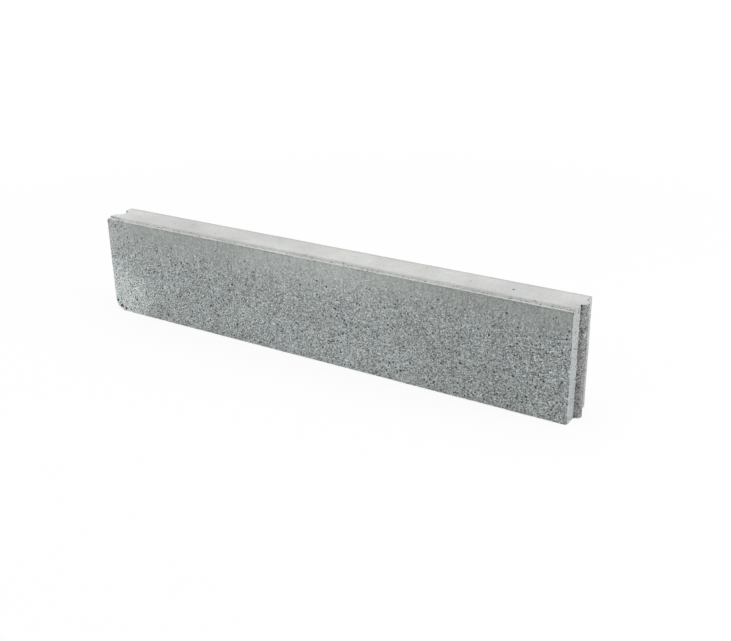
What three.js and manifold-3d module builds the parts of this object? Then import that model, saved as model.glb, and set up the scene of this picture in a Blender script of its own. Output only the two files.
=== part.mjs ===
// Concrete kerb stone, cast in one piece, standing on its bed as it is laid along a path or lawn.
// Millimetres. +Z is up, +X runs along the kerb towards its tongue end, -Y is the front face and the
// origin is the middle of the bed face. The stone is pressed in a steel mould: a stamp comes down on
// the top and leaves a chamfer with a level land outside it along both long edges.

import * as THREE from 'three';
import { mergeVertices } from 'three/addons/utils/BufferGeometryUtils.js';
import Module from 'manifold-3d';

const wasm = await Module();
wasm.setup();

// Body
const LAYING_LENGTH = 1000; // from the end face beside the groove to the end face beside the tongue
const THICKNESS = 80;
const HEIGHT = 200;

// Joint between neighbouring stones: a half-round tongue in a half-round groove, both full height
const TONGUE_RADIUS = 10;
const JOINT_CLEARANCE = 4; // how much wider the groove's radius is than the tongue's
const TONGUE_ROOT_RADIUS = 2; // fillet where the tongue leaves the end face
const GROOVE_LIP_RADIUS = 3; // rounding where the groove meets the end face

// Long edges under the stamp
const LAND_WIDTH = 5; // level strip outside the chamfer, measured in from the side face
const CHAMFER_RUN = 3;
const CHAMFER_RISE = 3;
const TOP_ARRIS_RADIUS = 1; // where a side face meets its land

// Other edges
const BED_ARRIS_RADIUS = 1.5;
const CORNER_RADIUS = 2; // the four upright edges

// Drawing
const CHORD_SAG = 0.01; // most that a facet may cut into a round stretch
const CUT_MARGIN = 20; // how far a blank stands past what trims it
const CONCRETE_COLOUR = 0x9fa4a2;
const CONCRETE_ROUGHNESS = 0.9;

const HALF_LENGTH = LAYING_LENGTH / 2;
const HALF_THICKNESS = THICKNESS / 2;
const GROOVE_RADIUS = TONGUE_RADIUS + JOINT_CLEARANCE;
const LAND_HEIGHT = HEIGHT - CHAMFER_RISE;
const RIGHT_ANGLE = Math.PI / 2;

// Points of an arc, both ends included, with as many facets as CHORD_SAG asks for. The number is
// even, so that the middle of the arc is a corner and a half round reaches its full radius.
function arc(centreX, centreY, radius, from, to) {
  const widest = 2 * Math.acos(1 - Math.min(1, CHORD_SAG / radius));
  const facets = 2 * Math.ceil(Math.abs(to - from) / widest / 2);
  const clockwise = to < from;
  return new THREE.EllipseCurve(centreX, centreY, radius, radius, from, to, clockwise).getPoints(facets);
}

// A half round that swells towards +X from an end face, from its -Y foot to its +Y foot. Each foot
// runs into the end face through a tangent arc of footRadius.
function footedHalfRound(faceX, radius, footRadius) {
  const footY = Math.sqrt(radius * (radius + 2 * footRadius));
  const meet = Math.atan2(footY, footRadius);
  return [
    ...arc(faceX + footRadius, -footY, footRadius, Math.PI, Math.PI - meet),
    ...arc(faceX, 0, radius, -meet, meet),
    ...arc(faceX + footRadius, footY, footRadius, meet - Math.PI, -Math.PI),
  ];
}

// A closed outline from a run of points, without the repeats where one stretch ends and the next begins.
function outline(points) {
  const apart = (point, index) => point.distanceTo(points.at(index - 1)) > CHORD_SAG / 10;
  return new THREE.Shape(points.filter(apart));
}

// The stone from above: tongue at +X, groove at -X.
function planOutline() {
  const cornerX = HALF_LENGTH - CORNER_RADIUS;
  const cornerY = HALF_THICKNESS - CORNER_RADIUS;
  return outline([
    ...arc(-cornerX, -cornerY, CORNER_RADIUS, 2 * RIGHT_ANGLE, 3 * RIGHT_ANGLE),
    ...arc(cornerX, -cornerY, CORNER_RADIUS, -RIGHT_ANGLE, 0),
    ...footedHalfRound(HALF_LENGTH, TONGUE_RADIUS, TONGUE_ROOT_RADIUS),
    ...arc(cornerX, cornerY, CORNER_RADIUS, 0, RIGHT_ANGLE),
    ...arc(-cornerX, cornerY, CORNER_RADIUS, RIGHT_ANGLE, 2 * RIGHT_ANGLE),
    ...footedHalfRound(-HALF_LENGTH, GROOVE_RADIUS, GROOVE_LIP_RADIUS).reverse(),
  ]);
}

// The back half of the cross-section, in Y and Z, from the bed up to the top face.
function sectionHalf() {
  const bedY = HALF_THICKNESS - BED_ARRIS_RADIUS;
  const landY = HALF_THICKNESS - LAND_WIDTH;
  const arrisY = HALF_THICKNESS - TOP_ARRIS_RADIUS;
  return [
    ...arc(bedY, BED_ARRIS_RADIUS, BED_ARRIS_RADIUS, -RIGHT_ANGLE, 0),
    ...arc(arrisY, LAND_HEIGHT - TOP_ARRIS_RADIUS, TOP_ARRIS_RADIUS, 0, RIGHT_ANGLE),
    new THREE.Vector2(landY, LAND_HEIGHT),
    new THREE.Vector2(landY - CHAMFER_RUN, HEIGHT),
  ];
}

// The stone from its end: the same on both faces.
function sectionOutline() {
  const back = sectionHalf();
  const front = back.map((point) => new THREE.Vector2(-point.x, point.y)).reverse();
  return outline([...back, ...front]);
}

// A shape drawn in a sheet's own X and Y and pulled into a bar of the given length.
function bar(shape, length) {
  return new THREE.ExtrudeGeometry(shape, { depth: length, bevelEnabled: false });
}

function toSolid(geometry) {
  const bare = geometry.clone();
  bare.deleteAttribute('normal');
  bare.deleteAttribute('uv');
  const merged = mergeVertices(bare);
  return new wasm.Manifold(new wasm.Mesh({
    numProp: 3,
    vertProperties: new Float32Array(merged.attributes.position.array),
    triVerts: new Uint32Array(merged.index.array),
  }));
}

function toGeometry(solid) {
  const mesh = solid.getMesh();
  const geometry = new THREE.BufferGeometry();
  geometry.setAttribute('position', new THREE.BufferAttribute(mesh.vertProperties, 3));
  geometry.setIndex(new THREE.BufferAttribute(mesh.triVerts, 1));
  geometry.computeVertexNormals();
  return geometry;
}

// The upright blank carries the ends, the lying one the bed, the side faces and the stamped edges.
// The stone is what both share.
function kerbStone() {
  const upright = bar(planOutline(), HEIGHT + 2 * CUT_MARGIN);
  upright.translate(0, 0, -CUT_MARGIN);

  const reach = LAYING_LENGTH + TONGUE_RADIUS + 2 * CUT_MARGIN;
  const lying = bar(sectionOutline(), reach);
  const alongX = new THREE.Matrix4().makeBasis(
    new THREE.Vector3(0, 1, 0),
    new THREE.Vector3(0, 0, 1),
    new THREE.Vector3(1, 0, 0),
  );
  lying.applyMatrix4(alongX);
  lying.translate(-HALF_LENGTH - CUT_MARGIN, 0, 0);

  const concrete = new THREE.MeshStandardMaterial({
    color: CONCRETE_COLOUR,
    roughness: CONCRETE_ROUGHNESS,
    metalness: 0,
  });
  const stone = new THREE.Mesh(toGeometry(toSolid(upright).intersect(toSolid(lying))), concrete);
  stone.name = 'kerb_stone';
  return stone;
}

const kerb = new THREE.Group();
kerb.add(kerbStone());

export default kerb;
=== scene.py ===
"""A pressed concrete kerb stone, 1 m long, standing on its bed on a pale studio floor.

The stone is one dry-cast block. A steel box mould drew its sides, a stamp pressed its top, and it was
made standing on a board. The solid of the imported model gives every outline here. This script takes a
copy of it and adds what the mould, the mix and handling leave on such a stone: faces that are not quite
flat, voids between the grains, bitten arrises, broken corners, and a finish for each kind of face.
"""

import logging
import math
from dataclasses import dataclass, field
from enum import Enum
from typing import Any, ClassVar

import bmesh
import bpy
from mathutils import Matrix, Vector, noise


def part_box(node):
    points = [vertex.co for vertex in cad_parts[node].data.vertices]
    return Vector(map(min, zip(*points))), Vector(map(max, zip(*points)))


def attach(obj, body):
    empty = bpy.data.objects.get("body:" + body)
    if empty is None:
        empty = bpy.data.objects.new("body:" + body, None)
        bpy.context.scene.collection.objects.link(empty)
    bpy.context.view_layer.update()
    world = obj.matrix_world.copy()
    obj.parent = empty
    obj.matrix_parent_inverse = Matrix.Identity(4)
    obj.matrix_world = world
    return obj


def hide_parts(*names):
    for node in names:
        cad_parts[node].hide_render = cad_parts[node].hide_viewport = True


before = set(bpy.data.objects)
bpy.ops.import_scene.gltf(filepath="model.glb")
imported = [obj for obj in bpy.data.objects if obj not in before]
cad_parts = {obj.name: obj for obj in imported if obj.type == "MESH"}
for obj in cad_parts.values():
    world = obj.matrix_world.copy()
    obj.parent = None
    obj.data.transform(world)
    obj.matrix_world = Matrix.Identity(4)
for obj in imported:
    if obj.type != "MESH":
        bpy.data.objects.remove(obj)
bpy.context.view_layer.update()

log = logging.getLogger("kerb_stone")

Socket = bpy.types.NodeSocket
Path = list[Vector]  # corners of a line, in metres
Span = tuple[float, float]
Triple = tuple[float, float, float]

MM = 0.001  # metres
CM2 = 1e-4  # square metres
NODE = "kerb_stone"
BODY = "root"
POROSITY = "porosity"  # the attribute that says how many voids a face gets
HALF_LENGTH_MM = 500.0
WIDE_NOISE: Span = (0.3, 0.7)  # a slow noise seldom leaves this range
NARROW_NOISE: Span = (0.35, 0.65)  # and mostly stays in this one
NOISE_MEAN: Triple = (0.5, 0.5, 0.5)  # of a noise colour
FRACTAL = (1.0, 2.0, 3)  # how fast finer noise weakens, how much finer each step is, and the steps
WHITE = "#ffffff"


class Zone(Enum):
    """The kinds of surface on the stone, by what made them. The value is the material slot."""

    STAMPED = 0
    RIM = 1
    DRAWN = 2
    JOINT = 3
    CORE = 4
    BED = 5
    VOID = 6
    PIT = 7
    BROKEN = 8


class VoidForm(Enum):
    """How coarse the solid is that stands for a void. Both have few faces, for thousands of copies."""

    PEBBLE = "a ball of 20 faces"
    GRIT = "a ball of 8 faces"


def linear(code: str) -> tuple[float, float, float, float]:
    """Turns an sRGB hex colour to the linear colour that a shader takes, by the standard's own curve.

    Args:
        code: Six hex digits after a hash.

    Returns:
        Red, green and blue in linear light, and an alpha of 1.
    """
    channels = [int(code[i : i + 2], 16) / 255 for i in (1, 3, 5)]
    red, green, blue = (c / 12.92 if c <= 0.04045 else ((c + 0.055) / 1.055) ** 2.4 for c in channels)
    return red, green, blue, 1.0


def freeze(piece: bpy.types.Object) -> None:
    """Replaces a piece's mesh by what its modifiers make of it, and removes the modifiers.

    Args:
        piece: A mesh object in the scene.
    """
    made = piece.evaluated_get(bpy.context.evaluated_depsgraph_get())
    mesh = bpy.data.meshes.new_from_object(made)
    piece.modifiers.clear()
    old = piece.data
    piece.data = mesh
    bpy.data.meshes.remove(old)


def discard(piece: bpy.types.Object) -> None:
    """Removes a helper object and its mesh.

    Args:
        piece: A mesh object in the scene.
    """
    mesh = piece.data
    bpy.data.objects.remove(piece)
    bpy.data.meshes.remove(mesh)


def new_piece(name: str, mesh: bpy.types.Mesh) -> bpy.types.Object:
    """Puts a mesh into the scene as an object at the origin.

    Args:
        name: The object's name.
        mesh: Its mesh.

    Returns:
        The object.
    """
    piece = bpy.data.objects.new(name, mesh)
    bpy.context.scene.collection.objects.link(piece)
    return piece


class Wiring:
    """A node tree that is being built. Every node of the scene is added through it."""

    def __init__(self, tree: bpy.types.NodeTree) -> None:
        """Empties the tree.

        Args:
            tree: The tree that gets the nodes.
        """
        tree.nodes.clear()
        self.tree = tree

    def add(self, kind: str, inputs: dict | tuple = (), **settings: Any) -> Any:
        """Adds a node with its settings, its input values and its links.

        Args:
            kind: Blender's name of the node type.
            inputs: Values in order, or by input name or number. An output of another node is linked.
            **settings: Attributes of the node itself, such as an operation.

        Returns:
            The new node's outputs, by name or number.
        """
        node = self.tree.nodes.new(kind)
        for name, value in settings.items():
            setattr(node, name, value)
        for key, value in inputs.items() if isinstance(inputs, dict) else enumerate(inputs):
            if isinstance(value, bpy.types.NodeSocket):
                self.tree.links.new(value, node.inputs[key])
            else:
                node.inputs[key].default_value = value
        return node.outputs

    def product(self, factors: list[Socket]) -> Socket:
        """Multiplies all the factors.

        Args:
            factors: Two sockets or more.

        Returns:
            The socket with the product.
        """
        result = factors[0]
        for factor in factors[1:]:
            result = self.add("ShaderNodeMath", (result, factor), operation="MULTIPLY")[0]
        return result


@dataclass(frozen=True)
class CementSkin:
    """The closed band of cement paste under the top arris, where the stamp squeezed milk outwards."""

    top_mm: float = 196.0
    fade_mm: float = 75.0
    raggedness_mm: float = 60.0
    least: float = 0.3  # of the grain shows through the closed skin
    shade: float = 0.715  # of the closed skin, beside the mean of the grits
    colour: str = "#adb2af"  # a little warmer than the grits
    seam_mm: float = 194.6  # a darker line just under the land
    seam_core_mm: float = 0.5  # this far from its middle it is still at its darkest
    seam_half_mm: float = 2.4
    seam_dark: float = 0.12
    least_open: float = 0.03  # share of the voids that open through the closed skin
    opening: float = 1.6  # power by which they grow more common downwards
    groove_open: float = 0.5  # share of the voids at the groove end, against the tongue end


@dataclass(frozen=True)
class MilkyEnd:
    """Cement milk that ran out at the groove end and dried pale, most of all at its foot."""

    reach_mm: float = 72.0  # how far in from the end it fades out, above the foot
    foot_reach_mm: float = 118.0  # and at the foot
    raggedness_mm: float = 110.0
    foot_mm: Span = (50.0, 105.0)  # up to where the foot has all its extra milk, and where it has none
    foot_gain: float = 3.7  # how much stronger it shows at the foot


@dataclass(frozen=True)
class PaleMiddle:
    """More cement milk in the middle of the length, where the feed filled the mould best."""

    centre_mm: float = 45.0
    level_mm: float = 45.0  # from the centre to where it starts to fade
    fade_mm: float = 210.0
    skin_gain: float = 3.3  # how much stronger it shows in the closed skin
    grit_gain: float = 0.8  # and in the bare grit


@dataclass(frozen=True)
class ChamferShadeBand:
    """Painted shade: a greyer band on the top face along each chamfer, widening the chamfer's shade."""

    start_mm: float = 24.0  # from the middle of the stone
    darkest_mm: float = 30.0
    end_mm: float = 34.5
    shade: float = 0.81


@dataclass(frozen=True)
class Clouds:
    """How the three colours of a finish drift into each other, as the water dried out unevenly."""

    start_mm: Triple = (310.0, 170.0, 90.0)  # keeps the clouds apart from the skin's ragged edge
    drifts: float = 1.7  # of the tint, for each cloud of bloom
    drift_noise: Span = (0.4, 0.65)  # where the tint begins and where it is full


@dataclass(frozen=True)
class GrainShape:
    """What the grain of all the finishes has in common."""

    bends: float = 1.1  # in the outline of a grit, for each grit's width
    bend: float = 2.2  # how far a bend pushes the outline, in grit widths
    quartz: Span = (0.88, 0.96)  # share of the grits without pale quartz, and share that aren't all quartz
    gap: Span = (0.35, 0.85)  # from a grit's middle to where the gap begins and is deepest, in widths
    pore: Span = (0.24, 0.34)  # from a pore's middle to the foot and top of its wall, in pore spacings
    pore_spread: float = 0.4  # how much smaller than that a pore may be, down to none


SKIN = CementSkin()
MILKY_END = MilkyEnd()
MIDDLE = PaleMiddle()
CHAMFER_BAND = ChamferShadeBand()
CLOUDS = Clouds()
GRAIN = GrainShape()


@dataclass(frozen=True)
class ConcreteFinish:
    """Dry-cast concrete: grey cement paste, sand and grit, as one surface of the mould left it.

    The grain is a patchwork of grits, each a little lighter or darker than the paste, with dark gaps
    between them. Most of the real sand is finer than 1 mm. It is drawn here as grit of about 1.5 mm,
    because finer would not show.
    """

    name: str
    paste: str  # colour where the cement skin is thin
    bloom: str  # colour where cement milk dried on the skin
    tint: str  # colour that the paste drifts to over a hand's width
    roughness: float = 0.92
    ior: float = 1.5
    grit_mm: float = 1.45
    grit_contrast: float = 0.74
    fleck_light: float = 0.85  # of the few grits that are pale quartz
    gap_dark: float = 0.57
    pore_mm: float = 4.8  # from one pore to the next
    pore_dark: float = 0.95
    least_coarse: float = 0.7  # how open the grain is in the smoothest patches, except on a side
    cloud_mm: float = 70.0
    cloud_contrast: float = 0.0
    streak_mm: Triple = (4.0, 4.0, 70.0)  # size of a mark along X, Y and Z
    streak_contrast: float = 0.0
    relief_mm: float = 0.35
    side: bool = False  # a long side, with the cement skin and the seam on top
    milk: float = 0.0  # how much cement milk lightens the groove end
    painted_end_light: float = 0.0  # painted light: how much lighter the stone is at its groove end than in the middle, and darker at its tongue end
    foot_shift: float = 0.0  # how much lighter the stone is at its foot
    foot_mm: Span = (10.0, 110.0)  # heights where that begins to fade, and where it has gone
    brightest: float = 2.0  # a grit is at most this many times as light as the paste
    middle: float = 0.0  # how much the pale middle shows
    chamfer_shade: bool = False  # the top face, with painted shade along its chamfers

    def material(self) -> bpy.types.Material:
        """Builds the finish.

        Returns:
            The finish as a material.
        """
        material = bpy.data.materials.new(self.name)
        material.use_nodes = True
        FinishNodes(self, material.node_tree).join()
        return material


@dataclass(frozen=True)
class Grain:
    """The patterns of one finish, as sockets that run from 0 to 1."""

    tone: Socket
    fleck: Socket
    gaps: Socket
    pores: Socket


class FinishNodes(Wiring):
    """The nodes of one finish. The pattern reads Object coordinates, in millimetres.

    A shade is a socket with a factor for the colour: below 1 it darkens and above 1 it lightens.
    """

    def __init__(self, finish: ConcreteFinish, tree: bpy.types.NodeTree) -> None:
        """Adds what the patterns of the finish share.

        Args:
            finish: What the nodes have to show.
            tree: The material's nodes.
        """
        super().__init__(tree)
        self.finish = finish
        metres = self.add("ShaderNodeTexCoord")["Object"]
        scaled = self.add("ShaderNodeVectorMath", {0: metres, "Scale": 1 / MM}, operation="SCALE")
        self.place = scaled["Vector"]
        self.along, self.across, self.height = self.add("ShaderNodeSeparateXYZ", (self.place,))
        self.patches = self.add(
            "ShaderNodeTexNoise", {"Vector": self.place, "Scale": 1 / finish.cloud_mm, "Detail": 3.0}
        )["Fac"]
        self.coarse = self._coarseness()
        self.grain = self._grain()

    def join(self) -> None:
        """Puts the shades, the colour and the relief together in the shader."""
        finish = self.finish
        shades = (
            (True, self._grain_shade),
            (finish.cloud_contrast, self._cloud_shade),
            (finish.streak_contrast, self._streaks),
            (finish.painted_end_light, self._painted_end_falloff),
            (finish.foot_shift, self._foot_shade),
            (finish.milk, self._milk),
            (finish.middle, self._pale_middle),
            (finish.chamfer_shade, self._painted_band_shade),
            (finish.side, self._seam),
        )
        product = self.product([shade() for wanted, shade in shades if wanted])
        capped = self.add("ShaderNodeMath", (product, finish.brightest), operation="MINIMUM")[0]
        scaled = self.add("ShaderNodeVectorMath", {0: self._hue(), "Scale": capped}, operation="SCALE")
        shader = self.add(
            "ShaderNodeBsdfPrincipled",
            {
                "Base Color": scaled["Vector"],
                "Roughness": finish.roughness,
                "IOR": finish.ior,
                "Normal": self._relief(),
            },
        )
        self.add("ShaderNodeOutputMaterial", {"Surface": shader["BSDF"]})

    def _coarseness(self) -> Socket:
        """Says how open the grain is.

        Returns:
            A socket that is 0 under a closed cement skin and 1 where the grit is bare.
        """
        if not self.finish.side:
            return self.add(
                "ShaderNodeMapRange", (self.patches, *WIDE_NOISE, self.finish.least_coarse, 1.0)
            )[0]
        ragged = self.add(
            "ShaderNodeMath", (self.patches, SKIN.raggedness_mm, self.height), operation="MULTIPLY_ADD"
        )[0]
        top = SKIN.top_mm + SKIN.raggedness_mm / 2
        return self.add(
            "ShaderNodeMapRange",
            (ragged, top, top - SKIN.fade_mm, SKIN.least, 1.0),
            interpolation_type="SMOOTHSTEP",
        )[0]

    def _grain(self) -> Grain:
        """Draws the grits, the gaps between them and the pores.

        Returns:
            The four patterns.
        """
        grit_mm = self.finish.grit_mm
        warp = self.add(
            "ShaderNodeTexNoise", {"Vector": self.place, "Scale": GRAIN.bends / grit_mm, "Detail": 1.0}
        )["Color"]
        push = self.add("ShaderNodeVectorMath", {0: warp, "Scale": GRAIN.bend * grit_mm}, operation="SCALE")
        bent = self.add("ShaderNodeVectorMath", (self.place, push["Vector"]), operation="ADD")["Vector"]
        grits, holes = (
            self.add("ShaderNodeTexVoronoi", {"Vector": bent, "Scale": 1 / pitch}, feature="F1")
            for pitch in (grit_mm, self.finish.pore_mm)
        )
        kinds = self.add("ShaderNodeSeparateColor", (grits["Color"],))
        sizes = self.add("ShaderNodeSeparateColor", (holes["Color"],))["Blue"]
        walls = self.add(
            "ShaderNodeMath", (sizes, GRAIN.pore_spread, holes["Distance"]), operation="MULTIPLY_ADD"
        )[0]
        return Grain(
            tone=kinds["Red"],
            fleck=self.add("ShaderNodeMapRange", (kinds["Green"], *GRAIN.quartz, 0.0, 1.0))[0],
            gaps=self.add("ShaderNodeMapRange", (grits["Distance"], *GRAIN.gap, 0.0, 1.0))[0],
            pores=self.add("ShaderNodeMapRange", (walls, *GRAIN.pore, 1.0, 0.0))[0],
        )

    def _grain_shade(self) -> Socket:
        """Shades the bare grain, and gives way to the shade of the closed skin.

        Returns:
            A socket with the shade.
        """
        finish, grain = self.finish, self.grain
        parts = (
            (grain.tone, 1 - finish.grit_contrast, 1 + finish.grit_contrast),
            (grain.fleck, 1.0, 1 + finish.fleck_light),
            (grain.gaps, 1.0, 1 - finish.gap_dark),
            (grain.pores, 1.0, 1 - finish.pore_dark),
        )
        bare = self.product(
            [self.add("ShaderNodeMapRange", (part, 0.0, 1.0, low, high))[0] for part, low, high in parts]
        )
        return self.add("ShaderNodeMix", {0: self.coarse, 2: SKIN.shade, 3: bare}, data_type="FLOAT")[0]

    def _cloud_shade(self) -> Socket:
        """Returns the shade of patches a hand wide."""
        contrast = self.finish.cloud_contrast
        return self.add("ShaderNodeMapRange", (self.patches, *NARROW_NOISE, 1 - contrast, 1 + contrast))[0]

    def _streaks(self) -> Socket:
        """Draws the marks that the mould or the stamp left as it slid off.

        Returns:
            A socket with the shade.
        """
        contrast = self.finish.streak_contrast
        pitches = tuple(1 / mm for mm in self.finish.streak_mm)
        drawn_out = self.add("ShaderNodeMapping", {"Vector": self.place, "Scale": pitches})["Vector"]
        marks = self.add("ShaderNodeTexNoise", {"Vector": drawn_out, "Scale": 1.0, "Detail": 2.0})["Fac"]
        return self.add("ShaderNodeMapRange", (marks, *WIDE_NOISE, 1 - contrast, 1 + contrast))[0]

    def _painted_end_falloff(self) -> Socket:
        """Returns the painted light that falls off from the groove end to the tongue end."""
        shift = self.finish.painted_end_light
        return self.add(
            "ShaderNodeMapRange", (self.along, -HALF_LENGTH_MM, HALF_LENGTH_MM, 1 + shift, 1 - shift)
        )[0]

    def _foot_shade(self) -> Socket:
        """Returns the shade that falls off upwards from the foot."""
        shift = self.finish.foot_shift
        return self.add("ShaderNodeMapRange", (self.height, *self.finish.foot_mm, 1 + shift, 1.0))[0]

    def _milk(self) -> Socket:
        """Lightens the groove end by its cement milk, which ends raggedly.

        Returns:
            A socket with the shade.
        """
        ragged = self.add(
            "ShaderNodeMath", (self.patches, -MILKY_END.raggedness_mm, self.along), operation="MULTIPLY_ADD"
        )[0]
        edge = -HALF_LENGTH_MM - MILKY_END.raggedness_mm / 2
        reaches = (edge + MILKY_END.reach_mm, edge + MILKY_END.foot_reach_mm)
        foot = self.add("ShaderNodeMapRange", (self.height, *MILKY_END.foot_mm, 1.0, 0.0))[0]
        far = self.add("ShaderNodeMapRange", (foot, 0.0, 1.0, *reaches))[0]
        near = self.add("ShaderNodeMapRange", (ragged, edge, far, self.finish.milk, 0.0))[0]
        gain = self.add("ShaderNodeMapRange", (foot, 0.0, 1.0, 1.0, MILKY_END.foot_gain))[0]
        return self.add("ShaderNodeMath", (1.0, self.product([near, gain])), operation="ADD")[0]

    def _pale_middle(self) -> Socket:
        """Lightens the middle of the length, most of all where the skin is closed.

        Returns:
            A socket with the shade.
        """
        middle = self.finish.middle
        gains = (middle * MIDDLE.skin_gain, middle * MIDDLE.grit_gain)
        away = self._away(self.along, MIDDLE.centre_mm)
        fade = (MIDDLE.level_mm, MIDDLE.level_mm + MIDDLE.fade_mm)
        near = self.add("ShaderNodeMapRange", (away, *fade, 1.0, 0.0))[0]
        gain = self.add("ShaderNodeMapRange", (self.coarse, SKIN.least, 1.0, *gains))[0]
        return self.add("ShaderNodeMath", (1.0, self.product([near, gain])), operation="ADD")[0]

    def _painted_band_shade(self) -> Socket:
        """Paints shade on the top face along both chamfers.

        Returns:
            A socket with the shade.
        """
        away = self._away(self.across, 0.0)
        darker = (CHAMFER_BAND.start_mm, CHAMFER_BAND.darkest_mm, 1.0, CHAMFER_BAND.shade)
        lighter = (CHAMFER_BAND.darkest_mm, CHAMFER_BAND.end_mm, 1.0, 1 / CHAMFER_BAND.shade)
        return self.product(
            [self.add("ShaderNodeMapRange", (away, *change))[0] for change in (darker, lighter)]
        )

    def _seam(self) -> Socket:
        """Darkens a line just under the land, which fades here and there.

        Returns:
            A socket with the shade.
        """
        away = self._away(self.height, SKIN.seam_mm)
        near = self.add("ShaderNodeMapRange", (away, SKIN.seam_core_mm, SKIN.seam_half_mm, 1.0, 0.0))[0]
        depth = self.add("ShaderNodeMapRange", (self.patches, *NARROW_NOISE, 0.0, SKIN.seam_dark))[0]
        return self.add("ShaderNodeMath", (1.0, self.product([near, depth])), operation="SUBTRACT")[0]

    def _away(self, place: Socket, centre_mm: float) -> Socket:
        """Returns how far a coordinate is from a centre, to either side."""
        off = self.add("ShaderNodeMath", (place, centre_mm), operation="SUBTRACT")[0]
        return self.add("ShaderNodeMath", (off,), operation="ABSOLUTE")[0]

    def _hue(self) -> Socket:
        """Mixes the colours of the finish in clouds, and on a side that of the cement skin.

        Returns:
            A socket with the colour before any shade.
        """
        finish = self.finish
        start = self.add("ShaderNodeVectorMath", (self.place, CLOUDS.start_mm), operation="ADD")["Vector"]
        hue = linear(finish.paste)
        for pitch, detail, edges, colour in (
            (1.0, 4.0, NARROW_NOISE, finish.bloom),
            (CLOUDS.drifts, 2.0, CLOUDS.drift_noise, finish.tint),
        ):
            clouds = self.add(
                "ShaderNodeTexNoise", {"Vector": start, "Scale": pitch / finish.cloud_mm, "Detail": detail}
            )["Fac"]
            share = self.add("ShaderNodeMapRange", (clouds, *edges, 0.0, 1.0))[0]
            hue = self.add("ShaderNodeMix", {0: share, 6: hue, 7: linear(colour)}, data_type="RGBA")[2]
        if finish.side:
            skin = {0: self.coarse, 6: linear(SKIN.colour), 7: hue}
            hue = self.add("ShaderNodeMix", skin, data_type="RGBA")[2]
        return hue

    def _relief(self) -> Socket:
        """Raises the grits and sinks the gaps and pores, all too small to be worth real faces.

        Returns:
            A socket with the bumped normal. A lighter grit stands higher.
        """
        height = self.grain.tone
        for low in (self.grain.gaps, self.grain.pores):
            height = self.add("ShaderNodeMath", (height, low), operation="SUBTRACT")[0]
        relief = self.product([height, self.coarse])
        depth = self.finish.relief_mm * MM
        return self.add("ShaderNodeBump", {"Height": relief, "Distance": depth, "Strength": 1.0})["Normal"]


# Each finish starts with its name and its three colours: paste, bloom and tint.
FINISHES = {
    # Pressed under a smooth steel stamp: closed, hardly any grain; paler than the sides, partly from dried
    # cement milk and partly as painted light from above.
    Zone.STAMPED: ConcreteFinish(
        "stamped_concrete", "#c1c1bf", "#cbcbc8", "#c4c6c5",
        roughness=0.85, grit_contrast=0.1, fleck_light=0.08, gap_dark=0.05, pore_dark=0.12,
        streak_mm=(90.0, 3.0, 3.0), streak_contrast=0.025, cloud_contrast=0.03, relief_mm=0.08, milk=0.16,
        middle=0.03, chamfer_shade=True,
    ),
    # Under the slanting rim of the stamp: closed as well, and greyer than the top face, which paints shade
    # on the chamfer.
    Zone.RIM: ConcreteFinish(
        "stamp_rim_painted_shade", "#b4b6b4", "#bec0bd", "#b8bab8",
        roughness=0.88, grit_contrast=0.2, fleck_light=0.2, gap_dark=0.15, pore_dark=0.4,
        streak_mm=(60.0, 3.0, 3.0), streak_contrast=0.04, cloud_contrast=0.03, relief_mm=0.15, milk=0.2,
    ),
    # Drawn against the mould wall: open grain, cool grey, faint upright draw marks, and painted light that
    # falls off from the groove end to the tongue end.
    Zone.DRAWN: ConcreteFinish(
        "mould_drawn_concrete", "#acb3b2", "#b1b8b9", "#adb2b1",
        streak_mm=(5.0, 5.0, 35.0), streak_contrast=0.1, cloud_contrast=0.03,
        side=True, milk=0.22, painted_end_light=0.065, foot_shift=0.05, middle=0.085,
    ),
    # Shaped by the end plates of the mould: pale, with a finer grain than the sides.
    Zone.JOINT: ConcreteFinish(
        "end_plate_concrete", "#b1b7b8", "#b9bdbf", "#b6b7b9",
        grit_contrast=0.3, fleck_light=0.5, gap_dark=0.26, pore_dark=0.6,
        cloud_contrast=0.04, relief_mm=0.25, milk=0.1,
    ),
    # Tongue and groove: a rougher, darker grey.
    Zone.CORE: ConcreteFinish(
        "tongue_groove_concrete", "#9a9b9b", "#a3a3a4", "#989998",
        streak_contrast=0.08, cloud_contrast=0.08,
    ),
    # Stood on the production board: flat, dull, with the grain pressed in.
    Zone.BED: ConcreteFinish("board_side_concrete", "#9fa3a1", "#a8acaa", "#a3a4a2", cloud_contrast=0.05),
    # Inside the voids: paste darkened as painted shade, without the skin's bloom.
    Zone.VOID: ConcreteFinish(
        "void_painted_shade", "#4e5250", "#575b59", "#525455",
        grit_contrast=0.3, fleck_light=0.2, gap_dark=0.2, pore_dark=0.3, relief_mm=0.2,
    ),
    # Inside the shallow pits that the stamp left in the closed skin: paste darkened as painted shade.
    Zone.PIT: ConcreteFinish(
        "shallow_pit_painted_shade", "#8f9493", "#979c9b", "#919492",
        grit_contrast=0.3, pore_dark=0.5, relief_mm=0.2,
    ),
    # Broken through the mix: bare grit, as pale as the skin and much rougher.
    Zone.BROKEN: ConcreteFinish(
        "broken_concrete", "#aeb1af", "#b8bbb9", "#adaead",
        grit_mm=2.4, grit_contrast=0.4, fleck_light=0.35, gap_dark=0.4, relief_mm=0.5, milk=0.12,
    ),
}


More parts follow.
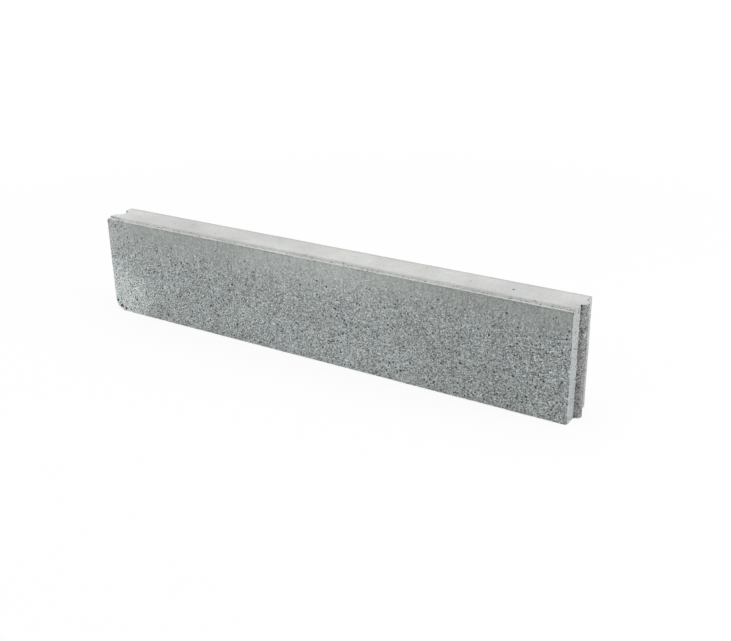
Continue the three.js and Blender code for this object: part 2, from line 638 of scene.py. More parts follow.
class Recipe(Wiring):
    """A Geometry Nodes tree that is being built, with its named inputs."""

    def __init__(self, name: str) -> None:
        """Starts a tree with a geometry input and a geometry output.

        Args:
            name: The tree's name.
        """
        super().__init__(bpy.data.node_groups.new(name, "GeometryNodeTree"))
        for way in ("INPUT", "OUTPUT"):
            self.tree.interface.new_socket("Geometry", in_out=way, socket_type="NodeSocketGeometry")
        self.given = self.tree.nodes.new("NodeGroupInput")
        self.values: dict[str, Any] = {}

    @property
    def geometry(self) -> Socket:
        """The geometry that comes in."""
        return self.given.outputs["Geometry"]

    def size(self, name: str, value: Any, kind: str = "NodeSocketFloat") -> Socket:
        """Adds a named input.

        Args:
            name: What the input is called.
            value: The value that the modifier gives it.
            kind: The socket's type.

        Returns:
            The socket inside the tree that carries the value.
        """
        item = self.tree.interface.new_socket(name, in_out="INPUT", socket_type=kind)
        self.values[item.identifier] = value
        return self.given.outputs[name]

    def run(self, piece: bpy.types.Object, geometry: Socket) -> None:
        """Ends the tree, runs it on a piece and keeps the result as its plain mesh.

        Args:
            piece: The object whose mesh comes in, and which takes the mesh that comes out.
            geometry: What the tree gives out.
        """
        self.add("NodeGroupOutput", (geometry,))
        modifier = piece.modifiers.new(self.tree.name, "NODES")
        modifier.node_group = self.tree
        for identifier, value in self.values.items():
            modifier[identifier] = value
        freeze(piece)


@dataclass(frozen=True)
class Unevenness:
    """How far the faces stray inwards from true, by the give of the mould and of the green concrete."""

    depth_mm: float = 0.5
    wave_mm: float = 55.0

    def apply(self, piece: bpy.types.Object) -> None:
        """Pushes every point of the piece inwards by a slow noise.

        Args:
            piece: The blank of the stone.
        """
        recipe = Recipe("mould_unevenness")
        depth = recipe.size("Depth", self.depth_mm * MM)
        pitch = recipe.size("Waves per metre", 1 / (self.wave_mm * MM))
        place = recipe.add("GeometryNodeInputPosition")[0]
        wave = recipe.add("ShaderNodeTexNoise", {"Vector": place, "Scale": pitch, "Detail": 2.0})["Fac"]
        share = recipe.add("ShaderNodeMapRange", (wave, *WIDE_NOISE, 0.0, -1.0))[0]
        normal = recipe.add("GeometryNodeInputNormal")["Normal"]
        shift = recipe.product([share, depth])
        offset = recipe.add("ShaderNodeVectorMath", {0: normal, "Scale": shift}, operation="SCALE")[0]
        moved = recipe.add("GeometryNodeSetPosition", {"Geometry": recipe.geometry, "Offset": offset})
        recipe.run(piece, moved["Geometry"])


@dataclass(frozen=True)
class Balls:
    """Rugged balls that are taken out of the stone. Most are near the smallest, and a few large."""

    name: str
    spacing_mm: float
    smallest_mm: float  # radius
    largest_mm: float
    seed: int

    bumps: ClassVar[float] = 1.3  # for each radius of a ball
    ruggedness: ClassVar[float] = 0.9  # how far a bump pushes the ball's face, in radii

    def _radius(self, recipe: Recipe, seed: int, rarity: float) -> Socket:
        """Draws a radius for each ball.

        Args:
            recipe: The tree that is being built.
            seed: What the draw depends on.
            rarity: How rare large balls are. At 1 they are as common as small ones.

        Returns:
            A socket with the radius in metres.
        """
        smallest = recipe.size("Smallest radius", self.smallest_mm * MM)
        largest = recipe.size("Largest radius", self.largest_mm * MM)
        draw = recipe.add("FunctionNodeRandomValue", {2: 0.0, 3: 1.0, "Seed": seed}, data_type="FLOAT")[1]
        skewed = recipe.add("ShaderNodeMath", (draw, rarity), operation="POWER")[0]
        return recipe.add("ShaderNodeMix", {0: skewed, 2: smallest, 3: largest}, data_type="FLOAT")[0]

    def _solids(
        self, recipe: Recipe, ball: Socket, placing: dict[str, Socket], material: bpy.types.Material
    ) -> Socket:
        """Puts an uneven ball on each point. Balls that overlap become one solid.

        Args:
            recipe: The tree that is being built.
            ball: A ball of radius 1.
            placing: The points, and the rotation and scale of the ball on each.
            material: The finish of the cut that the balls make.

        Returns:
            A socket with the solids, which ends the tree.
        """
        place = recipe.add("GeometryNodeInputPosition")[0]
        waves = {"Vector": place, "Scale": self.bumps, "Detail": 0.0}
        push = recipe.add("ShaderNodeTexNoise", waves)["Color"]
        centred = recipe.add("ShaderNodeVectorMath", (push, NOISE_MEAN), operation="SUBTRACT")[0]
        ruggedness = recipe.size("Ruggedness", self.ruggedness)
        offset = recipe.add("ShaderNodeVectorMath", {0: centred, "Scale": ruggedness}, operation="SCALE")[0]
        rugged = recipe.add("GeometryNodeSetPosition", {"Geometry": ball, "Offset": offset})[0]
        copies = recipe.add("GeometryNodeInstanceOnPoints", {"Instance": rugged, **placing})[0]
        merged = recipe.add(
            "GeometryNodeMeshBoolean", {"Mesh 2": copies}, operation="UNION", solver="MANIFOLD"
        )["Mesh"]
        real = recipe.add("GeometryNodeRealizeInstances", {"Geometry": merged})[0]
        finish = recipe.size("Finish", material, "NodeSocketMaterial")
        return recipe.add("GeometryNodeSetMaterial", {"Geometry": real, "Material": finish})[0]


@dataclass(frozen=True)
class Voids(Balls):
    """One size of void between the grains, scattered over the faces by how porous each is."""

    form: VoidForm
    per_cm2: float
    patch_mm: float = 45.0

    rarity: ClassVar[float] = 2.0
    least_share: ClassVar[float] = 0.3  # of the voids, between the patches that are rich in them
    squat: ClassVar[float] = 0.7  # the least and most that a void is stretched along each axis
    tall: ClassVar[float] = 1.15

    def cutter(self, blank: bpy.types.Object, material: bpy.types.Material) -> bpy.types.Object:
        """Makes the solids that are taken out of the stone.

        Args:
            blank: The stone, whose faces carry their porosity.
            material: The finish that the inside of a void gets.

        Returns:
            A new object with every solid, in the stone's own frame.
        """
        piece = new_piece(self.name, blank.data.copy())
        recipe = Recipe(self.name)
        points = self._points(recipe)
        radius = self._radius(recipe, self.seed + 1, self.rarity)
        stretch, turn = (
            recipe.add(
                "FunctionNodeRandomValue",
                {0: (least,) * 3, 1: (most,) * 3, "Seed": self.seed + step},
                data_type="FLOAT_VECTOR",
            )[0]
            for step, least, most in ((2, self.squat, self.tall), (3, 0.0, math.tau))
        )
        scale = recipe.add("ShaderNodeVectorMath", {0: stretch, "Scale": radius}, operation="SCALE")[0]
        placing = {"Points": points, "Rotation": turn, "Scale": scale}
        recipe.run(piece, self._solids(recipe, self._ball(recipe), placing, material))
        return piece

    def _points(self, recipe: Recipe) -> Socket:
        """Scatters the points, dense where the face is porous and the skin has ended.

        Args:
            recipe: The tree that is being built.

        Returns:
            A socket with the points.
        """
        spacing = recipe.size("Spacing", self.spacing_mm * MM)
        density = recipe.size("Density", self.per_cm2 / CM2)
        porosity = recipe.add("GeometryNodeInputNamedAttribute", (POROSITY,), data_type="FLOAT")["Attribute"]
        place = recipe.add("GeometryNodeInputPosition")[0]
        waves = {"Vector": place, "Scale": 1 / (self.patch_mm * MM), "Detail": 2.0}
        patches = recipe.add("ShaderNodeTexNoise", waves)["Fac"]
        share = recipe.add("ShaderNodeMapRange", (patches, *WIDE_NOISE, self.least_share, 1.0))[0]
        return recipe.add(
            "GeometryNodeDistributePointsOnFaces",
            {
                "Mesh": recipe.geometry,
                "Distance Min": spacing,
                "Density Max": density,
                "Density Factor": recipe.product([porosity, share]),
                "Seed": self.seed,
            },
            distribute_method="POISSON",
        )["Points"]

    def _ball(self, recipe: Recipe) -> Socket:
        """Returns the ball of radius 1 that each copy is made from."""
        if self.form is VoidForm.PEBBLE:
            return recipe.add("GeometryNodeMeshIcoSphere", {"Radius": 1.0, "Subdivisions": 1})["Mesh"]
        return recipe.add("GeometryNodeMeshUVSphere", {"Radius": 1.0, "Segments": 4, "Rings": 2})["Mesh"]


@dataclass(frozen=True)
class Bites(Balls):
    """What is missing along one kind of edge.

    Balls are strung along a path that runs just outside the edge. Most of them only graze it, and
    the few large ones leave a visible bite.
    """

    standoff_mm: float
    stretch: float = 1.5  # along the edge
    finish: Zone = Zone.BROKEN

    rarity: ClassVar[float] = 2.5
    slide: ClassVar[float] = 0.7  # how far a ball may stray along the path, in spacings

    def cutter(self, paths: list[Path], material: bpy.types.Material) -> bpy.types.Object:
        """Makes the solids that are taken out along the paths.

        Args:
            paths: Lines just outside the edges.
            material: The finish of a bite.

        Returns:
            A new object with every solid, in the stone's own frame.
        """
        piece = new_piece(self.name, self._lines(paths))
        recipe = Recipe(self.name)
        spacing = recipe.size("Spacing", self.spacing_mm * MM)
        line = recipe.add("GeometryNodeMeshToCurve", {"Mesh": recipe.geometry})["Curve"]
        strung = recipe.add("GeometryNodeCurveToPoints", {"Curve": line, "Length": spacing}, mode="LENGTH")
        stray = {2: -self.slide, 3: self.slide, "Seed": self.seed + 1}
        jitter = recipe.add("FunctionNodeRandomValue", stray, data_type="FLOAT")[1]
        slid = {0: strung["Tangent"], "Scale": recipe.product([jitter, spacing])}
        offset = recipe.add("ShaderNodeVectorMath", slid, operation="SCALE")[0]
        points = recipe.add("GeometryNodeSetPosition", {"Geometry": strung["Points"], "Offset": offset})[0]
        ball = recipe.add("GeometryNodeMeshIcoSphere", {"Radius": 1.0, "Subdivisions": 2})["Mesh"]
        radius = self._radius(recipe, self.seed, self.rarity)
        length = recipe.product([radius, recipe.size("Stretch along the edge", self.stretch)])
        scale = recipe.add("ShaderNodeCombineXYZ", (radius, radius, length))[0]
        turns = {0: (0.0, 0.0, 0.0), 1: (0.0, 0.0, math.tau), "Seed": self.seed + 2}
        spin = recipe.add("FunctionNodeRandomValue", turns, data_type="FLOAT_VECTOR")[0]
        turned = {"Rotation": strung["Rotation"], "Rotate By": spin}
        rotation = recipe.add("FunctionNodeRotateRotation", turned, rotation_space="LOCAL")[0]
        placing = {"Points": points, "Rotation": rotation, "Scale": scale}
        recipe.run(piece, self._solids(recipe, ball, placing, material))
        return piece

    def _lines(self, paths: list[Path]) -> bpy.types.Mesh:
        """Draws the paths as bare edges.

        Args:
            paths: Lines of two corners or more.

        Returns:
            A mesh without faces.
        """
        corners, edges = [], []
        for path in paths:
            edges += [(len(corners) + i, len(corners) + i + 1) for i in range(len(path) - 1)]
            corners += [tuple(point) for point in path]
        mesh = bpy.data.meshes.new(self.name)
        mesh.from_pydata(corners, edges, [])
        return mesh


@dataclass(frozen=True)
class CornerBreak:
    """A corner knocked off: a rough hollow that cuts the three edges at these distances."""

    name: str
    corner: tuple[int, int, int]  # which end of X, Y and Z: -1 or 1
    cuts_mm: Triple
    hollow_mm: float  # radius of the hollow
    ruggedness_mm: float = 1.3
    porosity: float = 1.0
    seed: int = 5
    bump_mm: float = 4.0  # width of the coarsest bumps
    fineness: int = 4  # how often the ball's faces are divided

    def cutter(self, low: Vector, high: Vector, material: bpy.types.Material) -> bpy.types.Object:
        """Makes the rough ball that takes the corner off.

        Args:
            low: The lowest corner of the stone's body.
            high: Its highest corner.
            material: The finish of the break.

        Returns:
            A new object, in the stone's own frame.
        """
        tip = Vector([(low, high)[side > 0][axis] for axis, side in enumerate(self.corner)])
        steep = Vector([side / cut for side, cut in zip(self.corner, self.cuts_mm)])
        depth = 1 / steep.length  # from the tip to the plane through the three cuts
        centre = tip + steep.normalized() * (self.hollow_mm - depth) * MM
        bm = bmesh.new()
        bmesh.ops.create_icosphere(bm, subdivisions=self.fineness, radius=self.hollow_mm * MM)
        for vert in bm.verts:
            way = vert.co.normalized()
            push = noise.fractal(vert.co / (self.bump_mm * MM) + Vector((self.seed, 0, 0)), *FRACTAL)
            vert.co += way * push * self.ruggedness_mm * MM
        bmesh.ops.translate(bm, verts=bm.verts[:], vec=centre)
        porosity = bm.faces.layers.float.new(POROSITY)
        for face in bm.faces:
            face[porosity] = self.porosity
        mesh = bpy.data.meshes.new(self.name)
        bm.to_mesh(mesh)
        bm.free()
        mesh.materials.append(material)
        return new_piece(self.name, mesh)


@dataclass
class KerbStone:
    """The stone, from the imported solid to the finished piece. Sizes are in millimetres."""

    tongue_radius: float = 10.0
    tongue_foot: float = 11.8  # from the middle to where the tongue's root ends
    root_depth: float = 0.8  # how far out of the end face the hollow of the root lies
    root_inset: float = 1.0  # and how far inside the root's end
    groove_radius: float = 14.0
    groove_lip: float = 3.0
    groove_steps: int = 12  # straight stretches of the path round the groove's mouth
    land_width: float = 5.0
    chamfer_run: float = 3.0
    chamfer_rise: float = 3.0
    crumbled_run: float = 56.0  # length of the arm of the groove end whose arris crumbled away
    crumbled_inset: float = 4.0  # from the side face to where the arm's end crumbled too
    grid: float = 16.0
    weld: float = 0.002  # points nearer than this are one
    touch: float = 0.001  # a point nearer than this to a cut lies on it
    flat: float = math.radians(0.5)  # faces that turn less than this are one
    level: float = 0.85  # a face whose normal rises more than this is level
    slant: float = 0.3  # and one whose normal rises more than this slants
    side_depth: float = 1.2  # how far in the arrises of a side reach
    sliver: float = 0.03  # a triangle lower than twice this has no firm direction
    crease: float = math.radians(25)  # a sharper turn than this gets a hard edge
    # Name, spacing, smallest and largest radius, seed, form and how many on a square centimetre.
    voids: tuple[Voids, ...] = (
        Voids("coarse_voids", 5.2, 1.2, 2.4, 11, VoidForm.PEBBLE, 1.25),
        Voids("fine_voids", 3.5, 0.8, 1.6, 23, VoidForm.GRIT, 2.75),
    )
    porosity: dict[Zone, float] = field(
        default_factory=lambda: {
            Zone.STAMPED: 0.02,
            Zone.RIM: 0.05,
            Zone.DRAWN: 1.0,
            Zone.JOINT: 0.45,
            Zone.CORE: 0.9,
            Zone.BED: 0.5,
        }
    )
    # Name, spacing, smallest and largest radius, seed and standoff.
    stamped_bites: Bites = Bites("stamped_arris_bites", 7.0, 0.4, 2.5, 31, 0.7, stretch=2.2)
    land_pits: Bites = Bites("land_corner_pits", 5.0, 0.4, 1.3, 33, 0.3, stretch=2.2, finish=Zone.PIT)
    seam_pits: Bites = Bites("seam_pits", 6.0, 0.5, 1.5, 35, 0.4, stretch=2.0, finish=Zone.PIT)
    bed_bites: Bites = Bites("bed_arris_bites", 11.0, 0.8, 3.6, 37, 1.0)
    upright_bites: Bites = Bites("upright_arris_bites", 6.0, 0.7, 2.6, 41, 0.5, finish=Zone.VOID)
    mouth_bites: Bites = Bites("groove_mouth_bites", 5.0, 0.6, 2.0, 43, 0.5, stretch=1.2)
    # the dark void finish of these pits paints shade into the hollow corners beside the tongue
    root_pits: Bites = Bites("tongue_root_pits", 2.6, 0.8, 1.5, 47, 0.1, stretch=1.6, finish=Zone.VOID)
    crumbled_bites: Bites = Bites("crumbled_arm_bites", 3.4, 2.2, 6.2, 53, 0.8, stretch=1.1)
    corner_pits: Bites = Bites("broken_corner_pits", 8.0, 2.6, 3.4, 61, 0.1, stretch=1.2, finish=Zone.VOID)
    arm_pits: Bites = Bites("crumbled_arm_pits", 5.5, 1.2, 2.6, 67, 0.2, stretch=1.2, finish=Zone.PIT)
    arm_pit_start: float = 4.0  # from the groove end
    arm_pit_depths: tuple[float, ...] = (8.0, 19.0, 9.0, 23.0, 10.0, 17.0, 9.0, 20.0, 12.0)  # below the top
    corner_pit_places: tuple[Span, ...] = ((5.0, 22.0), (13.0, 11.0), (30.0, 6.0))  # in from the end, and up
    root_pit_start: float = 2.0  # above the bed
    # Name, corner, cuts and radius of the hollow.
    breaks: tuple[CornerBreak, ...] = (
        CornerBreak("bed_corner_break", (-1, -1, -1), (11.0, 12.0, 32.0), 90.0, ruggedness_mm=1.8),
        CornerBreak(
            "bed_corner_break_low", (-1, -1, -1), (34.0, 12.0, 10.0), 90.0, ruggedness_mm=1.8, seed=21
        ),
        CornerBreak("bed_corner_nick", (1, -1, -1), (6.0, 5.0, 5.0), 14.0, seed=9),
        CornerBreak("groove_arm_break", (-1, -1, 1), (7.0, 9.0, 8.0), 24.0, seed=14),
    )
    low: Vector = field(init=False)  # the lowest corner of the stone without its tongue, in metres
    high: Vector = field(init=False)  # and the highest

    def __post_init__(self) -> None:
        """Takes the stone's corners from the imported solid."""
        self.low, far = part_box(NODE)
        self.high = far - Vector((self.tongue_radius * MM, 0.0, 0.0))

    def build(self) -> bpy.types.Object:
        """Makes the stone.

        Returns:
            The finished piece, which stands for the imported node.
        """
        materials = {zone: finish.material() for zone, finish in FINISHES.items()}
        stone = self._blank(materials)
        Unevenness().apply(stone)
        for broken in self.breaks:
            self._take_out(stone, broken.cutter(self.low, self.high, materials[Zone.BROKEN]))
        for bites, paths in (
            (self.crumbled_bites, self._crumbled_arm()),
            (self.stamped_bites, self._stamped_arrises()),
            (self.land_pits, self._land_corners()),
            (self.seam_pits, self._seams()),
            (self.bed_bites, self._bed_arrises()),
            (self.upright_bites, self._upright_arrises()),
            (self.mouth_bites, self._groove_mouth()),
            (self.root_pits, self._tongue_roots()),
            (self.corner_pits, self._broken_corner()),
            (self.arm_pits, self._under_crumbled_arm()),
        ):
            self._take_out(stone, bites.cutter(paths, materials[bites.finish]))
        for crop in self.voids:
            self._take_out(stone, crop.cutter(stone, materials[Zone.VOID]))
        self._drop_crumbs(stone)
        self._shade(stone)
        return stone

    def _blank(self, materials: dict[Zone, bpy.types.Material]) -> bpy.types.Object:
        """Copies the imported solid, lays a grid of cuts over it and tells its faces apart.

        Args:
            materials: The finish of each zone.

        Returns:
            The blank as an object, with its materials and the porosity of each face.
        """
        bm = bmesh.new()
        bm.from_mesh(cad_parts[NODE].data)
        bmesh.ops.remove_doubles(bm, verts=bm.verts[:], dist=self.weld * MM)
        bmesh.ops.dissolve_limit(bm, angle_limit=self.flat, verts=bm.verts[:], edges=bm.edges[:])
        low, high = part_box(NODE)
        for axis in (0, 2, 1):
            steps = round((high[axis] - low[axis]) / (self.grid * MM))
            for step in range(1, steps):
                self._cut(bm, axis, low[axis] + (high[axis] - low[axis]) * step / steps)
        porosity = bm.faces.layers.float.new(POROSITY)
        for face in bm.faces:
            zone = self._zone(face)
            face.material_index = zone.value
            face[porosity] = self.porosity[zone] * self._openness(zone, face.calc_center_median())
        bmesh.ops.triangulate(bm, faces=bm.faces[:])
        mesh = bpy.data.meshes.new("kerb_blank")
        bm.to_mesh(mesh)
        bm.free()
        for zone in Zone:
            mesh.materials.append(materials[zone])
        return new_piece("pressed_kerb", mesh)

    def _cut(self, bm: bmesh.types.BMesh, axis: int, place: float) -> None:
        """Splits the faces that cross a plane square to an axis.

        Args:
            bm: The mesh.
            axis: 0, 1 or 2 for X, Y or Z.
            place: Where the plane lies on that axis, in metres.
        """
        normal = Vector([float(axis == i) for i in range(3)])
        faces = [
            face
            for face in bm.faces
            if min(v.co[axis] for v in face.verts) < place < max(v.co[axis] for v in face.verts)
        ]
        edges = list({edge for face in faces for edge in face.edges})
        verts = list({vert for edge in edges for vert in edge.verts})
        bmesh.ops.bisect_plane(
            bm, geom=verts + edges + faces, dist=self.touch * MM, plane_co=normal * place, plane_no=normal
        )

    def _zone(self, face: bmesh.types.BMFace) -> Zone:
        """Tells what shaped a face by where it lies and the way it looks out.

        Args:
            face: The face.

        Returns:
            The zone that the face belongs to.
        """
        middle = face.calc_center_median()
        if face.normal.z > self.level:
            return Zone.STAMPED
        if face.normal.z < -self.level:
            return Zone.BED
        if face.normal.z > self.slant and abs(middle.y) < self.high.y - self.land_width * MM:
            return Zone.RIM
        if abs(middle.y) > self.high.y - self.side_depth * MM:
            return Zone.DRAWN
        mouth = self.tongue_foot if middle.x > 0 else self.groove_radius + self.groove_lip / 2
        return Zone.CORE if abs(middle.y) < mouth * MM else Zone.JOINT

    def _openness(self, zone: Zone, place: Vector) -> float:
        """Says how far the cement skin has given way to open grain at a place, from 0 to 1.

        Args:
            zone: What shaped the face.
            place: The middle of the face.

        Returns:
            The openness. Beside the tongue, where the mix is poured last, it is the most.
        """
        if zone is not Zone.DRAWN:
            return 1.0
        depth = min(1.0, max(0.0, (SKIN.top_mm - place.z / MM) / SKIN.fade_mm))
        along = (place.x - self.low.x) / (self.high.x - self.low.x)
        downwards = SKIN.least_open + (1 - SKIN.least_open) * depth**SKIN.opening
        return downwards * (SKIN.groove_open + (1 - SKIN.groove_open) * along**2)

    def _stamped_arrises(self) -> list[Path]:
        """Follows the arris of each land and both long arrises of the top face.

        Returns:
            Four straight paths just outside them.
        """
        off = self.stamped_bites.standoff_mm
        paths = []
        for side in (-1, 1):
            for inset, drop in ((0.0, self.chamfer_rise), (self.land_width + self.chamfer_run, 0.0)):
                y = side * (self.high.y - (inset - off) * MM)
                z = self.high.z - (drop - off) * MM
                paths.append([Vector((self.low.x, y, z)), Vector((self.high.x, y, z))])
        return paths

    def _along(self, inset: float, height: float) -> list[Path]:
        """Follows each long side.

        Args:
            inset: How far inside the side face the path runs.
            height: Its height above the bed.

        Returns:
            Two straight paths, front and back.
        """
        z = self.low.z + height * MM
        return [
            [Vector((x, side * (self.high.y - inset * MM), z)) for x in (self.low.x, self.high.x)]
            for side in (-1, 1)
        ]

    def _land_corners(self) -> list[Path]:
        """Returns paths along the hollow corner between each land and its chamfer."""
        height = (self.high.z - self.low.z) / MM - self.chamfer_rise + self.land_pits.standoff_mm
        return self._along(self.land_width, height)

    def _seams(self) -> list[Path]:
        """Returns paths along the seam just under each land."""
        return self._along(-self.seam_pits.standoff_mm, SKIN.seam_mm)

    def _bed_arrises(self) -> list[Path]:
        """Returns paths just outside the two long edges of the bed."""
        off = self.bed_bites.standoff_mm
        return self._along(-off, -off)

    def _upright_arrises(self) -> list[Path]:
        """Follows the four upright edges.

        Returns:
            Four straight paths just outside them.
        """
        off = self.upright_bites.standoff_mm * MM
        top = self.high.z - self.chamfer_rise * MM
        return [
            [Vector((x, side * (self.high.y + off), z)) for z in (self.low.z, top)]
            for side in (-1, 1)
            for x in (self.low.x - off, self.high.x + off)
        ]

    def _tongue_roots(self) -> list[Path]:
        """Follows the two hollow corners beside the tongue.

        Returns:
            Two upright paths.
        """
        off = self.root_pits.standoff_mm
        x = self.high.x + (self.root_depth + off) * MM
        y = (self.tongue_foot - self.root_inset + off) * MM
        foot = self.low.z + self.root_pit_start * MM
        return [[Vector((x, side * y, z)) for z in (foot, self.high.z)] for side in (-1, 1)]

    def _broken_corner(self) -> list[Path]:
        """Returns a path on the front face, round the break at the foot of the groove end."""
        off = -self.corner_pits.standoff_mm
        return [[self.low + Vector((along, off, up)) * MM for along, up in self.corner_pit_places]]

    def _under_crumbled_arm(self) -> list[Path]:
        """Goes up and down the front face, under the arris that crumbled away.

        Returns:
            One path, from the groove end inwards.
        """
        y = self.low.y - self.arm_pits.standoff_mm * MM
        step = self.crumbled_run / len(self.arm_pit_depths)
        places = [
            (self.low.x + (self.arm_pit_start + step * i) * MM, y, self.high.z - depth * MM)
            for i, depth in enumerate(self.arm_pit_depths)
        ]
        return [[Vector(place) for place in places]]

    def _crumbled_arm(self) -> list[Path]:
        """Follows the front arm of the groove end, where the stamped arris crumbled away.

        Returns:
            Two paths along the arris and one over the arm's end.
        """
        off = self.crumbled_bites.standoff_mm * MM
        start = self.low.x
        end = start + self.crumbled_run * MM
        side = self.low.y - off
        land = self.high.z - self.chamfer_rise * MM + off
        shoulder = self.low.y + (self.land_width + self.chamfer_run) * MM
        top = self.high.z + off
        near = self.low.y + self.crumbled_inset * MM
        lip = -(self.groove_radius + self.groove_lip) * MM
        return [
            [Vector((start, side, land)), Vector((end, side, land))],
            [Vector((start, shoulder, top)), Vector(((start + end) / 2, shoulder, top))],
            [Vector((start - off, near, top)), Vector((start - off, lip, top))],
        ]

    def _groove_mouth(self) -> list[Path]:
        """Follows the rim of the groove on the top face, just above it.

        Returns:
            One bent path, from the front arm round the groove to the back arm.
        """
        off = self.mouth_bites.standoff_mm
        reach = self.groove_radius - off
        z = self.high.z + off * MM
        turns = [math.pi * (i / self.groove_steps - 0.5) for i in range(self.groove_steps + 1)]
        bend = [Vector((self.low.x + reach * math.cos(a) * MM, reach * math.sin(a) * MM, z)) for a in turns]
        outside = self.low.x - off * MM
        lip = (self.groove_radius + self.groove_lip) * MM
        shoulder = self.high.y - (self.land_width + self.chamfer_run) * MM
        return [
            [Vector((outside, -lip, z)), *bend, Vector((outside, lip, z)), Vector((outside, shoulder, z))]
        ]

    def _take_out(self, stone: bpy.types.Object, cutter: bpy.types.Object) -> None:
        """Cuts the cutter's solids out of the stone and discards the cutter.

        Args:
            stone: The stone so far.
            cutter: Closed solids in the same frame.
        """
        modifier = stone.modifiers.new("cut", "BOOLEAN")
        modifier.operation = "DIFFERENCE"
        modifier.object = cutter
        modifier.solver = "MANIFOLD"
        modifier.material_mode = "TRANSFER"
        freeze(stone)
        triangles = sum(len(face.vertices) - 2 for face in stone.data.polygons)
        log.info("%s taken out, %d triangles", cutter.name, triangles)
        discard(cutter)

    def _drop_crumbs(self, stone: bpy.types.Object) -> None:
        """Removes what the cuts left hanging loose from the stone.

        Args:
            stone: The stone after its cuts.
        """
        bm = bmesh.new()
        bm.from_mesh(stone.data)
        unseen = set(bm.verts)
        lumps = []
        while unseen:
            edge_of_lump = [unseen.pop()]
            lump = []
            while edge_of_lump:
                vert = edge_of_lump.pop()
                lump.append(vert)
                near = {edge.other_vert(vert) for edge in vert.link_edges} & unseen
                unseen -= near
                edge_of_lump += near
            lumps.append(lump)
        lumps.sort(key=len)
        crumbs = [vert for lump in lumps[:-1] for vert in lump]
        bmesh.ops.delete(bm, geom=crumbs, context="VERTS")
        bm.to_mesh(stone.data)
        bm.free()
        log.info("%d crumbs dropped", len(lumps) - 1)

    def _shade(self, stone: bpy.types.Object) -> None:
        """Shades the stone smooth, with hard edges where it turns sharply and round every cut.

        Slivers beside the cuts have no firm direction of their own. They take that of their
        neighbours, which is why the normals are weighted by area.

        Args:
            stone: The stone after its cuts.
        """
        bm = bmesh.new()
        bm.from_mesh(stone.data)
        slivers = set()
        for face in bm.faces:
            face.smooth = True
            if face.calc_area() < self.sliver * MM * max(edge.calc_length() for edge in face.edges):
                slivers.add(face)
        for edge in bm.edges:
            one, other = edge.link_faces
            flat = edge.calc_face_angle() < self.crease or one in slivers or other in slivers
            edge.smooth = flat and one.material_index == other.material_index
        bm.to_mesh(stone.data)
        bm.free()
        modifier = stone.modifiers.new("normals", "WEIGHTED_NORMAL")
        modifier.mode = "FACE_AREA"
        modifier.keep_sharp = True
        freeze(stone)


@dataclass(frozen=True)
class Lamp:
    """A square soft lamp."""

    name: str
    place: Triple  # in metres
    aim: Triple  # the point that it faces
    side_m: float
    watts: float

    def hang(self) -> None:
        """Puts the lamp into the scene."""
        data = bpy.data.lights.new(self.name, "AREA")
        data.size = self.side_m
        data.energy = self.watts
        lamp = bpy.data.objects.new(self.name, data)
        lamp.location = self.place
        lamp.rotation_euler = (Vector(self.aim) - Vector(self.place)).to_track_quat("-Z", "Y").to_euler()
        bpy.context.scene.collection.objects.link(lamp)


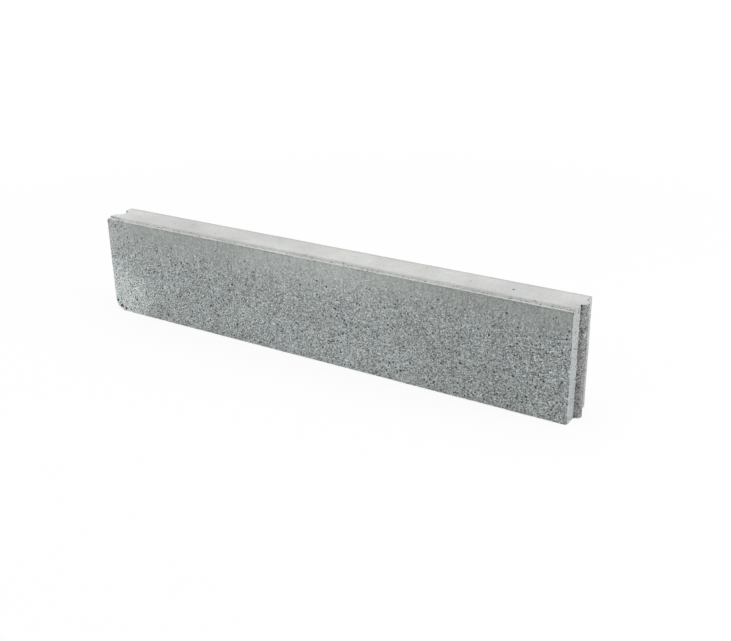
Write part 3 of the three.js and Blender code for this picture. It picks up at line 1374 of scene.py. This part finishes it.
@dataclass(frozen=True)
class Studio:
    """A pale floor, soft lamps and the world around them."""

    floor_half_m: float = 15.0
    floor_colour: str = "#f0f0ee"
    floor_roughness: float = 0.9
    white_near: float = 0.9  # share of plain white in what the camera sees of the floor at the stone
    white_from_m: float = 0.7
    white_to_m: float = 2.0
    ambient: float = 0.55
    lamps: tuple[Lamp, ...] = (
        Lamp("overhead", (-0.2, 0.3, 2.4), (0.0, 0.0, 0.1), 2.4, 28.0),
        Lamp("tongue_side", (2.6, 0.2, 1.0), (0.4, 0.0, 0.1), 1.6, 30.0),
        Lamp("front", (-1.2, -2.2, 1.1), (-0.2, 0.0, 0.1), 1.8, 16.0),
    )

    def build(self) -> None:
        """Makes the world, the lamps and the floor."""
        self._world()
        for lamp in self.lamps:
            lamp.hang()
        self._floor()

    def _world(self) -> None:
        """Lights from all around, and shows white to the camera."""
        world = bpy.data.worlds.new("studio_air")
        bpy.context.scene.world = world
        world.use_nodes = True
        wiring = Wiring(world.node_tree)
        light, white = (
            wiring.add("ShaderNodeBackground", {"Color": linear(WHITE), "Strength": strength})[0]
            for strength in (self.ambient, 1.0)
        )
        mixed = wiring.add("ShaderNodeMixShader", (self._seen(wiring), light, white))
        wiring.add("ShaderNodeOutputWorld", {"Surface": mixed[0]})

    def _seen(self, wiring: Wiring) -> Socket:
        """Tells the rays that show a surface to the camera, straight, mirrored or refracted.

        Args:
            wiring: The nodes that ask.

        Returns:
            A socket that is 1 for such rays and 0 for the others.
        """
        rays = wiring.add("ShaderNodeLightPath")
        seen = rays["Is Camera Ray"]
        for kind in ("Is Glossy Ray", "Is Transmission Ray"):
            seen = wiring.add("ShaderNodeMath", (seen, rays[kind]), operation="MAXIMUM")[0]
        return seen

    def _floor(self) -> None:
        """Lays the floor, which is white to the camera but keeps a part of the stone's shadow."""
        half = self.floor_half_m
        mesh = bpy.data.meshes.new("floor")
        corners = [(-half, -half, 0.0), (half, -half, 0.0), (half, half, 0.0), (-half, half, 0.0)]
        mesh.from_pydata(corners, [], [(0, 1, 2, 3)])
        floor = new_piece("floor", mesh)
        material = bpy.data.materials.new("studio_floor")
        material.use_nodes = True
        wiring = Wiring(material.node_tree)
        paint = {"Base Color": linear(self.floor_colour), "Roughness": self.floor_roughness}
        matt = wiring.add("ShaderNodeBsdfPrincipled", paint)[0]
        white = wiring.add("ShaderNodeEmission", {"Color": linear(WHITE), "Strength": 1.0})[0]
        place = wiring.add("ShaderNodeTexCoord")["Object"]
        away = wiring.add("ShaderNodeVectorMath", (place,), operation="LENGTH")["Value"]
        whiteness = wiring.add(
            "ShaderNodeMapRange",
            (away, self.white_from_m, self.white_to_m, self.white_near, 1.0),
            interpolation_type="SMOOTHSTEP",
        )[0]
        share = wiring.product([self._seen(wiring), whiteness])
        mixed = wiring.add("ShaderNodeMixShader", (share, matt, white))
        wiring.add("ShaderNodeOutputMaterial", {"Surface": mixed[0]})
        mesh.materials.append(material)


@dataclass(frozen=True)
class Viewpoint:
    """The camera, by its angles round a point in the stone's middle plane."""

    azimuth_deg: float = 32.8
    elevation_deg: float = 22.8
    roll_deg: float = -1.05
    distance_mm: float = 1845.0
    target_mm: Triple = (93.4, 0.0, 83.6)
    lens_mm: float = 50.26
    sensor_mm: float = 36.0

    def build(self) -> None:
        """Makes the camera and gives it to the scene."""
        degrees = (self.azimuth_deg, self.elevation_deg, self.roll_deg)
        azimuth, elevation, roll = (math.radians(angle) for angle in degrees)
        flat = math.cos(elevation)
        back = Vector((math.sin(azimuth) * flat, -math.cos(azimuth) * flat, math.sin(elevation)))
        level = Vector((math.cos(azimuth), math.sin(azimuth), 0.0))
        upright = back.cross(level)
        right = level * math.cos(roll) + upright * math.sin(roll)
        up = upright * math.cos(roll) - level * math.sin(roll)
        data = bpy.data.cameras.new("view")
        data.sensor_fit = "HORIZONTAL"
        data.sensor_width = self.sensor_mm
        data.lens = self.lens_mm
        camera = bpy.data.objects.new("view", data)
        place = (Vector(self.target_mm) + back * self.distance_mm) * MM
        camera.matrix_world = Matrix.Translation(place) @ Matrix((right, up, back)).transposed().to_4x4()
        bpy.context.scene.collection.objects.link(camera)
        bpy.context.scene.camera = camera


def main() -> None:
    """Builds the camera, the studio and the stone."""
    logging.basicConfig(level=logging.INFO, format="%(name)s: %(message)s")
    bpy.context.scene.view_settings.view_transform = "Standard"
    Viewpoint().build()
    Studio().build()
    stone = KerbStone().build()
    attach(stone, BODY)
    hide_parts(NODE)
    log.info("%s: %d vertices", stone.name, len(stone.data.vertices))


if __name__ == "__main__":
    main()
